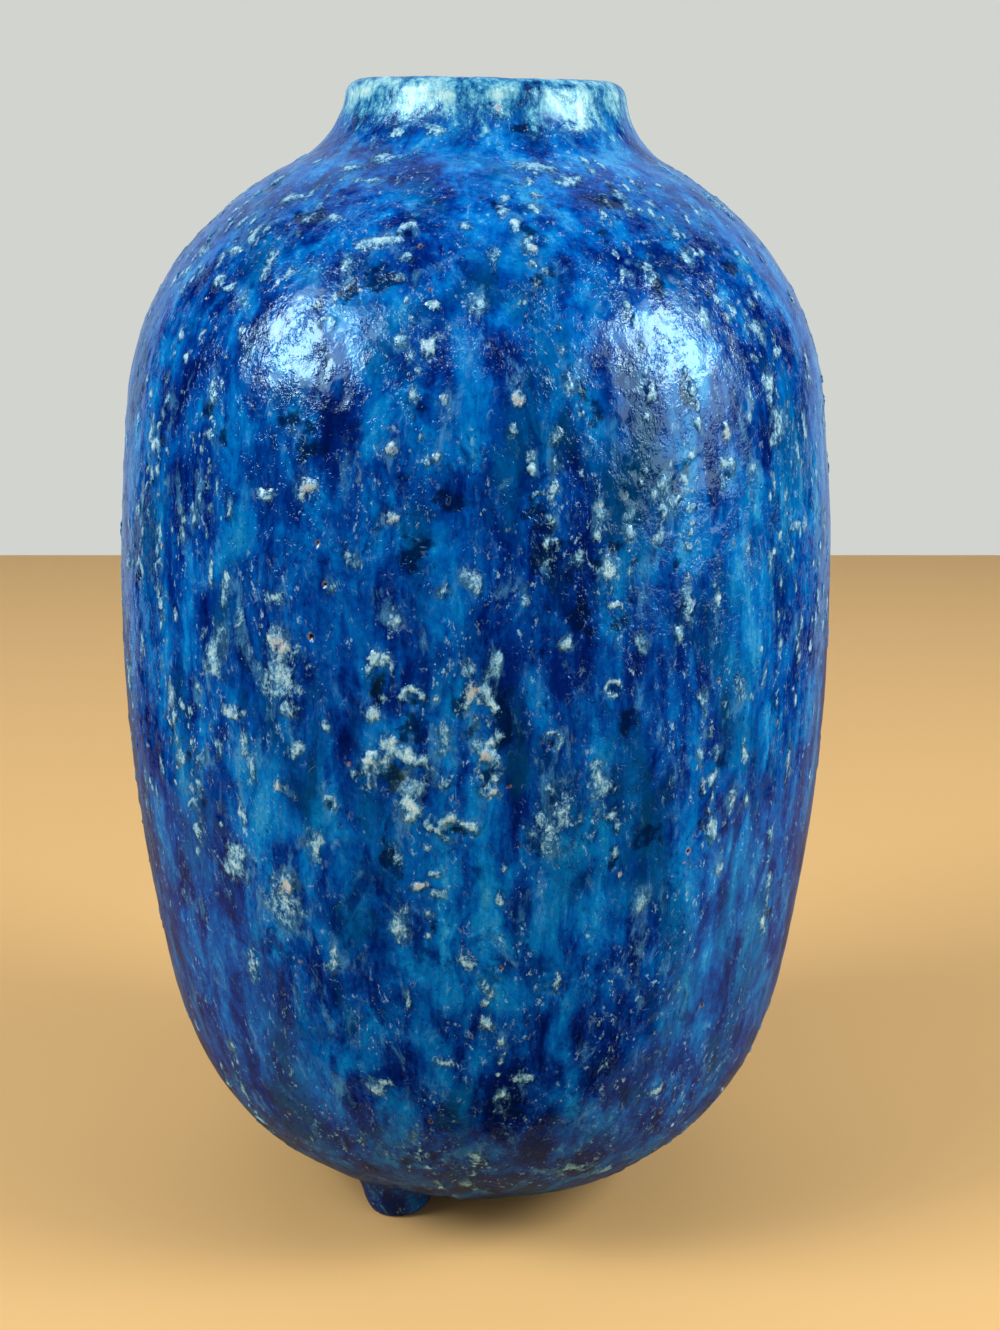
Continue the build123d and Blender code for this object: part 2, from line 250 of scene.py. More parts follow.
crustSpots = {
    "firm": [  # bright, crisp and raised
        (-30, 215, 3, 1.7), (15, 214, 4.2, 2.6), (-36, 213, 3.2, 1.7), (22, 212, 3.2, 2),
        (-45, 208, 3, 1.1), (-29, 205, 1.7, 1.2), (-1, 204, 1.1, 1), (-17, 201, 4.9, 1.6),
        (-50, 199, 2.8, 1.2), (-49, 194, 1.7, 1.2), (-45, 193, 1.5, 1.1), (-6, 191, 1, 1.5),
        (-6, 184, 1.7, 2.5), (56, 181, 2.1, 1.1), (51, 175, 2.4, 2.6), (-31, 158, 2.5, 1.2),
        (57, 149, 2.2, 1.3), (-11, 138, 1.6, 1.6), (13, 134, 1.3, 1.2), (3, 131, 1.2, 2.6),
        (-40, 128, 3.2, 4.9), (2, 126, 1.3, 3.2), (-5, 124, 0.7, 0.7), (3, 123, 1.1, 2.2),
        (-14, 121, 1.5, 2), (-27, 120, 2.6, 1.9), (-37, 118, 3.2, 1.3), (-21, 118, 0.7, 1.6),
        (3, 117, 1.4, 1.8), (-35, 113, 1.4, 3), (-8, 113, 2.2, 1.7), (3, 113, 1.2, 2.9),
        (3, 109.5, 1.6, 2.2), (-34, 108, 1, 2.6), (-9, 104, 2.2, 3), (38, 95, 1.7, 2.6),
        (-47, 92, 1.3, 2.8), (-10, 66, 0.6, 2.6), (29, 20, 2.9, 1.6), (-30, 219.5, 2.2, 1.2),
        (-17, 220, 2.3, 1.5),
    ],
    "soft": [  # cloudy and grainy, sunk in the glaze
        (-29, 211, 3.1, 1.3), (13, 207, 1.7, 1.6), (-63, 199, 3.3, 2.3), (4, 199, 1.6, 2.7),
        (-33, 196, 1.1, 1.6), (1, 191, 1.6, 2.5), (51, 185, 2.5, 1.9), (52, 168, 2.9, 3.2),
        (46, 161, 1.8, 1.8), (29, 158, 3.2, 3.3), (18, 155, 1.3, 1.9), (-48, 151, 1.6, 3.9),
        (15, 148, 1.6, 1.6), (-17, 148, 1.7, 2.1), (0, 145, 2.6, 2.3), (49, 144, 2, 1.9),
        (-41, 143, 1.3, 2.8), (-4, 143, 1.6, 1.6), (-20, 143, 1.2, 1.8), (7, 142, 1.3, 2.8),
        (-29, 140, 2.8, 2), (-38, 139, 1.6, 3.4), (32, 139, 1.6, 3.9), (-35, 135, 1.2, 2.4),
        (-54, 135, 1.6, 4.8), (24, 133, 1.6, 3.1), (58, 127, 1.7, 4.1), (-28, 125, 5.2, 5.5),
        (43, 121, 2.2, 2.7), (-4, 117, 2.3, 2.6), (-52, 117, 1.7, 4.1), (-26, 113, 1.9, 2.4),
        (-13, 112, 2.6, 1.9), (-4, 109, 1.4, 1.5), (-44, 108, 1.2, 2.5), (-9, 108, 4, 3),
        (18, 108, 2.4, 4.9), (57, 103, 1.8, 4.7), (12, 102, 3.6, 7.6), (11, 96, 2.7, 1.9),
        (-24, 95, 1.9, 3.5), (-11, 95, 1.2, 2.9), (-39, 89, 4, 4.5), (4, 87, 1.6, 2), (26, 84, 2, 3.5),
        (-30, 82, 4.4, 5.8), (-11, 81, 2.2, 4.1), (-1, 75, 1.3, 2.5), (-22, 72, 1.7, 3.4),
        (13, 70, 1.5, 2.3), (-38, 68, 1.8, 4.4), (-5, 53, 2.3, 1.8), (8, 49, 1.9, 1.9),
        (-16, 46, 2.9, 2.2), (33, 41, 3, 1.6), (-22, 32, 2.4, 1.6), (21, 24, 5.5, 2.2),
    ],
    "warm": [  # with a tan middle
        (-4, 176, 0.9, 1), (40, 168, 1.3, 1.6), (-11, 167, 1.3, 1.7), (-5, 166, 1.1, 1.2),
        (-24, 160, 1.8, 2.1), (18, 157, 1.5, 1.5), (-11, 155, 1.3, 1.7), (-28, 132, 3.4, 4.2),
        (3, 107, 1.4, 1.1), (-29, 105, 1.9, 1.9), (-8, 89, 2.7, 1.4), (-29, 86, 3.2, 2.8),
        (5, 224.5, 1.3, 1.9),
    ],
    "ring": [  # craters with a pale rim round a dark hollow
        (40, 161, 2, 2.2), (-13, 127, 2.4, 4.4), (20, 125, 1.5, 1.6), (-8, 124, 1.9, 2),
        (11, 116, 1.7, 1.7), (-11, 110, 5.8, 4.8), (-21, 103, 1.4, 1.6), (-2, 100, 3.5, 2.1),
    ],
    "dark": [  # dark patches beside the crusts
        (-15, 195, 5, 3.5), (-24, 167, 4.2, 3.8), (-35, 205, 5, 2.5), (-8, 150, 3, 5), (-13, 124, 1.8, 3),
        (4, 120, 2.2, 9), (10, 150, 4, 4), (15, 138, 3.5, 4), (33, 175, 3, 3), (-3, 158, 4, 3),
        (-8, 119, 3.5, 3.5), (52, 196, 3.5, 2), (-12, 95, 2, 5), (22, 118, 2.2, 3.5), (26, 97, 4, 3),
        (-27, 171, 2.5, 2), (-6, 228, 3, 2.2), (20, 228.5, 2.4, 1.8), (-52, 223, 3, 3), (12, 221, 3, 1.6),
    ],
    "milky": [  # pale patches in the neck's glaze
        (-25, 226, 5, 2.4), (38, 224, 6, 4), (-60, 227, 4, 2), (62, 227, 4, 2), (5, 227, 2, 1.6),
        (-10, 222, 2, 1.5), (120, 226, 6, 3), (165, 224, 5, 4), (-110, 227, 5, 2), (-155, 225, 6, 3),
    ],
}
crustHabit = {
    "chains": 150,        # loose strings of small crusts all over the jar
    "chainLinks": (3, 9),
    "linkSize": (0.45, 1.5),
    "linkGap": 3.4,
    "backSpots": 90,      # larger ones on the sides and back, where no crusts are listed
    "backSize": (1.2, 4.0),
    "frontHalf": 62,      # degrees to either side that the listed crusts cover
    "flecks": 520,        # small ones on both flanks
    "fleckAngles": (36, 125),
    "fleckHeights": (95, 215),
    "fleckSize": (0.35, 1.1),
    "firstRow": 12,       # lowest row of the outline where a string may start
    "pastBreak": 6,       # how far past the glazes' meeting line the highest may start
    "ragged": 3.4,        # sizes of the noises that make the crusts ragged and crumbled
    "fineRagged": 1.3,
    "fineShare": 0.55,
    "crumble": 2.2,
    "line": 0.36,         # the crust field's level where a crust comes out of the coat
    "steepness": 1.1,
    "rise": 0.27,
    "skirt": 0.12,        # how far its edge dips under the coat
    "seed": 41,
}

warpA, warpB = (softNoise(flat, crustHabit["ragged"], seed) for seed in (11, 12))
fineWarpA, fineWarpB = (softNoise(flat, crustHabit["fineRagged"], seed) for seed in (13, 14))
warpAcross = (warpA + crustHabit["fineShare"] * fineWarpA).reshape(rowCount, columnCount)
warpAlong = (warpB + crustHabit["fineShare"] * fineWarpB).reshape(rowCount, columnCount)


def alongAt(height):
    # how far along the outline a height on the outside lies
    outside = slice(0, lipRow + 1)
    return float(np.interp(height, outline[outside, 1], alongRow[outside]))


def stamp(field, angle, along, halfWidth, halfHeight, strength=1.0, ring=False, ragged=0.5):
    # adds one ragged spot to a field; where two overlap, the stronger counts
    middle = int(np.argmin(np.abs(alongRow - along)))
    reach, margin = 2.6, 1.5  # how far it fades out, in half sizes and in millimetres beyond
    rows = np.flatnonzero(np.abs(alongRow - along) < halfHeight * reach + margin)
    spread = (halfWidth * reach + margin) / outline[middle, 0]
    away = (turnAngle - math.radians(angle - 90) + math.pi) % (2 * math.pi) - math.pi
    columns = np.flatnonzero(np.abs(away) < spread)
    if not len(rows) or not len(columns):
        return
    window = np.ix_(rows, columns)
    size = min(halfWidth, halfHeight) * ragged + 0.25
    across = (away[columns][None] * outline[rows, 0][:, None] + warpAcross[window] * size) / halfWidth
    up = (alongRow[rows][:, None] - along + warpAlong[window] * size) / halfHeight
    distance = np.hypot(across, up)
    if ring:  # thick above, broken below
        broken = np.clip(0.62 + 0.5 * up + 0.55 * warpAcross[window], 0, 1.1)
        shape = np.exp(-((distance - 0.95) / 0.34) ** 2) * broken
    else:
        shape = np.exp(-(distance ** 2) * 1.1)
    field[window] = np.maximum(field[window], shape * strength)


def stampListed(fields):
    for kind, spots in crustSpots.items():
        ring = kind == "ring"
        field = fields[kind if kind in ("soft", "dark", "milky") else "firm"]
        strength, ragged = 0.8 if kind == "soft" else 1, 0.35 if ring else 0.6
        for angle, height, width, tall in spots:
            along = alongAt(height)
            stamp(field, angle, along, width, tall, strength, ring, ragged)
            if kind == "warm":
                stamp(fields["warm"], angle, along, width * 0.8, tall * 0.8)
            if ring:
                stamp(fields["pit"], angle, along - tall * 0.15, width * 0.6, tall * 0.55)


def stampChains(fields, dice, low, high):
    # strings of small crusts that run down the wall
    for chain in range(crustHabit["chains"]):
        angle, along = dice.uniform(-180, 180), dice.uniform(low, high)
        for link in range(dice.integers(*crustHabit["chainLinks"])):
            size = dice.uniform(*crustHabit["linkSize"])
            kind = "firm" if dice.random() < 0.6 else "soft"
            tall, strength = size * dice.uniform(0.9, 2), dice.uniform(0.7, 1)
            stamp(fields[kind], angle, along, size, tall, strength, dice.random() < 0.15 and size > 1.1)
            if dice.random() < 0.1:
                stamp(fields["warm"], angle, along, size, size)
            if dice.random() < 0.25:
                stamp(fields["dark"], angle + dice.uniform(-3, 3), along - 2, size * 2, size * 2.5, 0.8)
            radius = max(14, float(np.interp(along, alongRow, outline[:, 0])))
            angle += math.degrees(dice.normal(0, 1.1) / radius)
            along -= crustHabit["linkGap"] * dice.uniform(0.6, 1.6)


def stampBack(fields, dice, low, high):
    # larger ones on the sides and back
    for spot in range(crustHabit["backSpots"]):
        angle = dice.uniform(crustHabit["frontHalf"], 360 - crustHabit["frontHalf"])
        along, size = dice.uniform(low + 12, high), dice.uniform(*crustHabit["backSize"])
        kind = "firm" if dice.random() < 0.4 else "soft"
        ring, tall = size > 1.6 and dice.random() < 0.12, size * dice.uniform(0.7, 1.5)
        stamp(fields[kind], angle, along, size * 0.8, tall, 0.8 if kind == "soft" else 1, ring)
        if ring:
            stamp(fields["pit"], angle, along, size * 0.5, size * 0.5)
        if dice.random() < 0.2:
            stamp(fields["warm"], angle, along, size * 0.7, size * 0.7)
        if dice.random() < 0.35:
            stamp(fields["dark"], angle + dice.uniform(-5, 5), along - size, size * 1.3, size * 1.6, 0.9)


def stampFlecks(fields, dice):
    # small flecks on both flanks, drawn out down the wall
    low, high = (alongAt(height) for height in crustHabit["fleckHeights"])
    for fleck in range(crustHabit["flecks"]):
        angle = dice.choice((-1, 1)) * dice.uniform(*crustHabit["fleckAngles"])
        along, size = dice.uniform(low, high), dice.uniform(*crustHabit["fleckSize"])
        tall, strength = size * dice.uniform(1.2, 3.2), dice.uniform(0.8, 1.15)
        stamp(fields["soft"], angle, along, size, tall, strength, ragged=0.8)


def fillCrusts():
    names = ("firm", "soft", "warm", "dark", "pit", "milky")
    fields = {name: np.zeros((rowCount, columnCount)) for name in names}
    dice = np.random.default_rng(crustHabit["seed"])
    low, high = alongRow[crustHabit["firstRow"]], alongRow[breakRow] + crustHabit["pastBreak"]
    stampListed(fields)
    stampChains(fields, dice, low, high)
    stampBack(fields, dice, low, high)
    stampFlecks(fields, dice)
    return {name: values.ravel() for name, values in fields.items()}


fields = fillCrusts()
crumble = layeredNoise(flow * (1, 1, 0.7), crustHabit["crumble"], 3, 31, 0.8)  # eats into the crusts
crust = np.clip(fields["firm"] * (0.88 + 0.7 * crumble), 0, 1)
haze = np.clip(fields["soft"] * (1.02 + 0.7 * crumble), 0, 1)
print("crusts laid")


# The glaze surface: hand-made waves, soft lumps, ripples, craters and pinholes

glazeSurface = {
    "sunk": 0.22,         # the coat's mean level under the outline, so that lumps stay in the jar's size
    "wave": (46, 0.34),   # size and height of the thrower's unevenness
    "lump": (9, 0.13),
    "ripple": (2.6, 0.055),
    "drip": (11, 0.28),   # folds of thick glaze low on the body
    "dripHeights": (12, 55),  # full below the first, gone above the second
    "pits": 150,
    "pitSize": (0.22, 0.62),
    "pitDepth": 0.5,
    "pitRow": 20,         # the outline's row where they start
    "pitSeed": 77,
    "shownPit": (-23, 134, 0.8),  # the large one on the front: degrees, height, half size
    "hollowDepth": 0.55,  # in the craters
    "hazeRise": 0.14,     # of the cloudy crusts
    "darkDip": 0.1,       # of the dark patches
}


def pinholes(surface):
    pits = np.zeros((rowCount, columnCount))
    dice = np.random.default_rng(surface["pitSeed"])
    for pit in range(surface["pits"]):
        size = dice.uniform(*surface["pitSize"])
        angle, along = dice.uniform(-180, 180), dice.uniform(alongRow[surface["pitRow"]], alongRow[breakRow])
        if pit == 0:
            angle, height, size = surface["shownPit"]
            along = alongAt(height)
        stamp(pits, angle, along, size, size, ragged=0.1)
    return pits.ravel()


def glazeRelief(surface):
    waveSize, waveHeight = surface["wave"]
    lumpSize, lumpHeight = surface["lump"]
    rippleSize, rippleHeight = surface["ripple"]
    dripSize, dripHeight = surface["drip"]
    relief = -surface["sunk"] + waveHeight * softNoise(flat * (1, 1, 0.55), waveSize, 51)
    relief += lumpHeight * softNoise(flow * (1, 1, 0.55), lumpSize, 52)
    relief += lumpHeight * 0.5 * softNoise(flow * (1, 1, 0.6), lumpSize * 0.5, 53)
    relief += rippleHeight * softNoise(flow, rippleSize, 54)
    low = 1 - smoothStep(flat[:, 2], *surface["dripHeights"])
    relief += low * dripHeight * softNoise(flow * (1, 1, 0.2), dripSize, 55)
    relief -= surface["pitDepth"] * smoothStep(fields["hole"], 0.35, 1)
    relief -= surface["hollowDepth"] * smoothStep(fields["pit"], 0.3, 0.95)
    relief += surface["hazeRise"] * smoothStep(haze, 0.2, 0.8) * (1 + crumble)
    relief -= surface["darkDip"] * smoothStep(fields["dark"], 0.3, 0.9)
    return relief


fields["hole"] = pinholes(glazeSurface)
relief = glazeRelief(glazeSurface)
line, skirt = crustHabit["line"], crustHabit["skirt"]
crustRise = np.clip((crust - line) * crustHabit["steepness"], -skirt, crustHabit["rise"])
crustRelief = relief + crustRise * (1 + 0.5 * crumble)
boxLow, boxHigh = np.array(cadBox[0]) / mm, np.array(cadBox[1]) / mm
inset = 0.005  # keeps every point just inside the CAD box


def lifted(heights):
    heights = heights.reshape(rowCount, columnCount).copy()
    heights[[0, -1]] = 0  # both hidden ends stay where they are
    points = smoothGrid + facingGrid * heights[..., None]
    return np.clip(points.reshape(-1, 3), boxLow + inset, boxHigh - inset)


def gridNormals(points):
    grid = points.reshape(rowCount, columnCount, 3)
    around = np.roll(grid, -1, 1) - np.roll(grid, 1, 1)
    up = np.gradient(grid, axis=0)
    normal = np.cross(around, up)
    length = np.linalg.norm(normal, axis=2, keepdims=True)
    return (normal / np.maximum(length, 1e-9)).reshape(-1, 3)


def gridQuads(first, last, columns=columnCount):
    row, column = np.meshgrid(np.arange(first, last), np.arange(columns), indexing="ij")
    after = (column + 1) % columns
    lower, upper = row * columns, (row + 1) * columns
    return np.stack([lower + column, lower + after, upper + after, upper + column], -1).reshape(-1, 4)


def cutPiece(name, points, normals, quads, holds):
    # only the points that these faces use
    used, order = np.unique(quads, return_inverse=True)
    piece = meshPiece(name, points[used], order.reshape(quads.shape), normals[used])
    for field, values in holds.items():
        keepField(piece, field, values[used])
    return piece


paleNeck = {
    "starts": 214,        # height where the neck's pale glaze starts, and where it is full
    "full": 229,
    "mouthTop": 230,      # inside the mouth it fades down from here, over mouthFade
    "mouthFade": 26,
}
blueLevel = {             # how light the blue is: at the start, and rising with height and to the right; the rises are painted shade and light: darker towards the bottom (partly painted shade, partly the thicker glaze there), lighter on the shoulder and the right side (painted light)
    "start": 0.32,
    "rises": [(2, 0.13, 15, 80), (2, 0.08, 165, 215), (0, 0.06, 8, 55)],  # axis, amount, from, to
}

coatPoints = lifted(relief)
coatNormals = gridNormals(coatPoints)
crustPoints = lifted(crustRelief)
crustNormals = gridNormals(crustPoints)
neckShare = smoothStep(flat[:, 2] + 0.4 * warpA, paleNeck["starts"], paleNeck["full"])
mouthShare = np.clip(1 - (paleNeck["mouthTop"] - flat[:, 2]) / paleNeck["mouthFade"], 0, 1)
inTheMouth = np.repeat(np.arange(rowCount) > lipRow, columnCount)
pale = np.full(len(flat), blueLevel["start"])
# painted shade low on the body and painted light on the shoulder and the right side, laid into the blue's
# lightness
for axis, amount, low, high in blueLevel["rises"]:
    pale += amount * smoothStep(flat[:, axis], low, high)
holds = {
    "flow": flow * mm,
    "crust": np.maximum(crust, haze * 0.86),
    "warm": fields["warm"],
    "dark": fields["dark"],
    "hole": fields["hole"],
    "pit": fields["pit"],
    "neck": np.where(inTheMouth, mouthShare, neckShare),
    "milky": fields["milky"],
    "pale": pale,
}
bodyGlaze = cutPiece("bodyGlaze", coatPoints, coatNormals, gridQuads(0, breakRow), holds)
neckGlaze = cutPiece("neckGlaze", coatPoints, coatNormals, gridQuads(breakRow, rowCount - 1), holds)
crustQuads = gridQuads(2, lipRow)  # none on the hidden edge or in the mouth
crustQuads = crustQuads[(crust[crustQuads] > line - 0.04).any(1)]
paleCrusts = cutPiece("paleCrusts", crustPoints, crustNormals, crustQuads, holds)
faceCounts = [len(piece.data.polygons) for piece in (bodyGlaze, neckGlaze, paleCrusts)]
print("glaze coat and crusts:", faceCounts, "faces")


# The glaze on the three feet: each widens from its bare pad and runs out into the body

footShape = {
    "circle": 27.5,
    "firstAngle": -128.0,
    "lowEdge": 0.3,       # how far over the floor the glaze stops
    "profile": [          # share of the way up to the body, radius
        (0.13, 4.6), (0.03, 4.75), (0.0, 5.05), (0.02, 5.4), (0.09, 5.85), (0.2, 6.4), (0.32, 6.85),
        (0.46, 7.25), (0.6, 7.7), (0.74, 8.4), (0.88, 9.4), (1.0, 10.6),
    ],
    "into": 0.7,          # how far it runs into the body's glaze
    "wobble": (4, 0.2),   # size and depth
    "blueLevel": 0.2,
    "rows": 44,
    "columns": 120,
}


def bellyHeight(radius):
    # the height of the jar's underside at a distance from its axis
    below = slice(jarShape["edgeRows"], int(outline[:, 0].argmax()))
    return np.interp(radius, outline[below, 0], outline[below, 1])


def footGlaze(shape):
    profile = np.array(shape["profile"])
    # how far along the profile each point lies, with the way up to the body counted as 10 mm
    far = np.concatenate([[0], np.cumsum(np.hypot(*np.diff(profile * (10, 1), axis=0).T))])
    steps = np.linspace(0, far[-1], shape["rows"])
    share, radius = np.interp(steps, far, profile[:, 0]), np.interp(steps, far, profile[:, 1])
    around = np.linspace(0, 2 * math.pi, shape["columns"], endpoint=False)
    way = np.stack([np.cos(around), np.sin(around)], 1)
    faces = gridQuads(0, shape["rows"] - 1, shape["columns"])
    wobbleSize, wobbleDepth = shape["wobble"]
    points, quads = [], []
    for foot in range(3):
        angle = math.radians(shape["firstAngle"] + 120 * foot)
        middle = shape["circle"] * np.array([math.cos(angle), math.sin(angle)])
        top = bellyHeight(np.hypot(*(middle + radius[-1] * way).T)) + shape["into"]
        place = middle + radius[:, None, None] * way
        height = shape["lowEdge"] + (top - shape["lowEdge"]) * share[:, None]
        ring = np.concatenate([place, height[..., None]], -1)
        wobble = softNoise(ring.reshape(-1, 3) * (1, 1, 0.5), wobbleSize, 91 + foot)
        wobble = wobbleDepth * (wobble.reshape(ring.shape[:2]) + 0.3) * smoothStep(steps, 0.6, 2)[:, None]
        ring[..., :2] += wobble[..., None] * way
        points.append(ring.reshape(-1, 3))
        quads.append(faces + foot * len(points[0]))
    return np.concatenate(points), np.concatenate(quads)


footPoints, footQuads = footGlaze(footShape)
feetGlaze = meshPiece("feetGlaze", footPoints, footQuads)
keepField(feetGlaze, "flow", footPoints * mm)
keepField(feetGlaze, "pale", np.full(len(footPoints), footShape["blueLevel"]))
print("feet glazed")


# Materials

class Finish:
    # a material whose nodes are laid one call at a time; sizes of patterns in millimetres
    def __init__(self, name):
        self.material = bpy.data.materials.new(name)
        self.material.use_nodes = True
        self.tree = self.material.node_tree
        self.coat = self.tree.nodes["Principled BSDF"]

    def put(self, socket, value):
        if isinstance(value, bpy.types.NodeSocket):
            self.tree.links.new(value, socket)
        else:
            socket.default_value = value

    def node(self, kind, inputs=(), **settings):
        node = self.tree.nodes.new("ShaderNode" + kind)
        for name, value in settings.items():
            setattr(node, name, value)
        for name, value in dict(inputs).items():
            self.put(node.inputs[name], value)
        return node

    def field(self, name, output="Fac"):
        return self.node("Attribute", attribute_name=name).outputs[output]

    def sum(self, kind, first, second=0.0, third=0.0):
        return self.node("Math", {0: first, 1: second, 2: third}, operation=kind).outputs[0]

    def around(self, value, reach, middle):
        # middle plus the noise's swing either way, times reach
        return self.sum("MULTIPLY_ADD", self.sum("SUBTRACT", value, 0.5), reach, middle)

    def stretch(self, place, up):
        # up below 1 draws the pattern out upright
        return self.node("VectorMath", {0: place, 1: (1, 1, up)}, operation="MULTIPLY").outputs[0]

    def noise(self, place, size, detail=2.0, rough=0.5, bend=0.0, up=1.0):
        inputs = {"Scale": 1 / (size * mm), "Detail": detail, "Roughness": rough, "Distortion": bend}
        inputs["Vector"] = self.stretch(place, up) if up != 1 else place
        return self.node("TexNoise", inputs).outputs["Fac"]

    def fade(self, value, low, high):
        inputs = {"Value": value, "From Min": low, "From Max": high}
        return self.node("MapRange", inputs, interpolation_type="SMOOTHSTEP").outputs[0]

    def mix(self, share, first, second):
        # this node's colour sockets are 6, 7 and, going out, 2
        node = self.node("Mix", {"Factor": share, 6: first, 7: second}, data_type="RGBA")
        return node.outputs[2]

    def ramp(self, value, stops):
        node = self.node("ValToRGB", {"Fac": value})
        band = node.color_ramp
        while len(band.elements) < len(stops):
            band.elements.new(1)
        for element, (place, colour) in zip(band.elements, stops):
            element.position, element.color = place, colour
        return node.outputs["Color"]

    def bump(self, height, distance):
        return self.node("Bump", {"Height": height, "Distance": distance * mm}).outputs["Normal"]


blueGlaze = {
    "depths": [
        (0.00, tone(0, 16, 80)), (0.22, tone(0, 34, 118)), (0.45, tone(0, 66, 156)),
        (0.65, tone(0, 96, 184)), (0.84, tone(6, 122, 204)), (1.00, tone(58, 158, 220)),
    ],
    "teal": tone(0, 88, 128),
    "ultramarine": tone(0, 22, 104),
    "milk": tone(74, 148, 204),
    "chip": tone(142, 194, 228),
    "crust": [
        (0.14, tone(34, 104, 158)), (0.38, tone(104, 166, 206)), (0.6, tone(158, 206, 228)),
        (0.92, tone(224, 242, 244)),
    ],
    "warm": tone(206, 178, 156),
    "dark": tone(0, 18, 62),
    "hollow": tone(6, 30, 40),
    "rim": [
        (0.02, tone(0, 44, 100)), (0.20, tone(10, 88, 150)), (0.38, tone(52, 134, 182)),
        (0.58, tone(110, 182, 210)), (0.95, tone(188, 232, 238)),
    ],
    "sheen": (0.56, 0.88, 1.0, 1.0),  # the gloss mirrors a little bluer than it's lit
    "roughness": (0.09, 0.2),
    "neckDuller": 0.16,
    "refraction": 1.62,
    "relief": 0.13,       # depth of the finest creases and grain
}


def mottledBlue(g, flowing, grain, crustField, look):
    # brushed patches of deeper and lighter blue, drawn out down the wall
    patches = g.fade(g.noise(flowing, 11, 6, 0.66, 0.6, up=0.6), 0.36, 0.64)
    streaks = g.fade(g.noise(flowing, 6, 5, 0.62, 0.3, up=0.22), 0.36, 0.64)
    fibres = g.noise(flowing, 1.5, 4, 0.65, up=0.2)
    # the pale field carries the painted shade towards the bottom and the painted light on the shoulder and
    # right side
    level = g.around(patches, 0.52, g.around(streaks, 0.38, g.field("pale")))
    level = g.around(grain, 0.34, g.around(fibres, 0.4, level))
    colour = g.ramp(level, look["depths"])
    green = g.fade(g.noise(flowing, 15, 4, 0.65, up=0.45), 0.48, 0.66)
    colour = g.mix(g.sum("MULTIPLY", green, 0.4), colour, look["teal"])
    deep = g.fade(g.noise(flowing, 8, 5, 0.7, 0.5, up=0.55), 0.55, 0.66)
    colour = g.mix(g.sum("MULTIPLY", deep, 0.75), colour, look["ultramarine"])
    # milky smears, more of them round the crusts
    smear = g.noise(flowing, 4, 6, 0.74, 0.4, up=0.45)
    cloud = g.fade(g.sum("MULTIPLY_ADD", crustField, 0.28, smear), 0.54, 0.74)
    colour = g.mix(g.sum("MULTIPLY", cloud, 0.7), colour, look["milk"])
    # dark patches and specks
    ragged = g.around(g.noise(flowing, 2.2, 5, 0.75), 1.6, g.field("dark"))
    colour = g.mix(g.sum("MULTIPLY", g.fade(ragged, 0.35, 0.8), 0.85), colour, look["dark"])
    specks = g.fade(g.noise(flowing, 1.2, 2, 0.6), 0.66, 0.73)
    return g.mix(g.sum("MULTIPLY", specks, 0.6), colour, look["dark"])


def paleChips(g, flowing, crumbs, colour, look):
    # small pale chips in clusters, and thin threads
    cluster = g.fade(g.noise(flowing, 9, 3, 0.6, up=0.35), 0.42, 0.58)
    chips = g.fade(g.noise(flowing, 1.3, 4, 0.74, 0.25, up=0.6), 0.58, 0.7)
    cells = g.node("TexVoronoi", {"Vector": g.stretch(flowing, 0.7), "Scale": 1 / (1.5 * mm)}).outputs
    chance = g.node("SeparateColor", {"Color": cells["Color"]}).outputs[0]
    dots = g.sum("SUBTRACT", g.sum("MULTIPLY_ADD", chance, 0.3, -0.12), cells["Distance"])
    dots = g.sum("MULTIPLY", g.fade(g.around(crumbs, 0.5, dots), -0.05, 0.1), 0.7)
    thread = g.sum("SUBTRACT", g.noise(flowing, 3, 2, 0.5, 1.2, up=0.6), 0.5)
    thread = g.sum("SUBTRACT", 1.0, g.fade(g.sum("ABSOLUTE", thread), 0.004, 0.028))
    thread = g.sum("MULTIPLY", thread, g.fade(g.noise(flowing, 5, 2, 0.5), 0.6, 0.72))
    pieces = g.sum("MULTIPLY", g.sum("MAXIMUM", chips, dots), g.sum("MULTIPLY", cluster, 0.9))
    pieces = g.sum("MAXIMUM", pieces, g.sum("MULTIPLY", thread, 0.25))
    return g.mix(pieces, colour, look["chip"])


def laidCrusts(g, crustField, grains, crumbs, colour, look):
    # crumbled and partly see-through at their edges, some with tan middles, with a dark line round
    mask = g.fade(g.around(grains, 0.8, g.around(crumbs, 2.4, crustField)), 0.3, 0.84)
    chalk = g.around(grains, 1.2, g.around(crumbs, 1.7, g.sum("MULTIPLY", crustField, 0.7)))
    tan = g.fade(g.around(grains, 1.8, g.around(crumbs, 1.6, g.field("warm"))), 0.45, 1.1)
    crustColour = g.mix(g.sum("MULTIPLY", tan, 0.6), g.ramp(chalk, look["crust"]), look["warm"])
    shade = g.sum("MULTIPLY", g.fade(crustField, 0.1, 0.5), g.sum("SUBTRACT", 1.0, mask))
    colour = g.mix(g.sum("MULTIPLY", shade, 0.6), colour, look["dark"])
    return g.mix(g.sum("MULTIPLY", mask, 0.88), colour, crustColour), crustColour, mask


def neckBand(g, flowing, grain, neck, colour, look):
    # the neck's pale glaze, in threads that run down
    threads = g.noise(flowing, 2.6, 5, 0.7, 0.4, up=0.35)
    blots = g.noise(flowing, 5, 5, 0.72, 0.4, up=0.8)
    spotted = g.sum("SUBTRACT", g.field("milky"), g.field("dark"))
    paler = g.sum("MULTIPLY_ADD", spotted, 0.36, g.sum("MULTIPLY", neck, 0.47))
    paler = g.around(grain, 0.7, g.around(threads, 1.7, g.around(blots, 2.0, paler)))
    share = g.fade(g.around(threads, 2.0, g.around(blots, 0.8, neck)), 0.3, 0.8)
    return g.mix(share, colour, g.ramp(paler, look["rim"]))


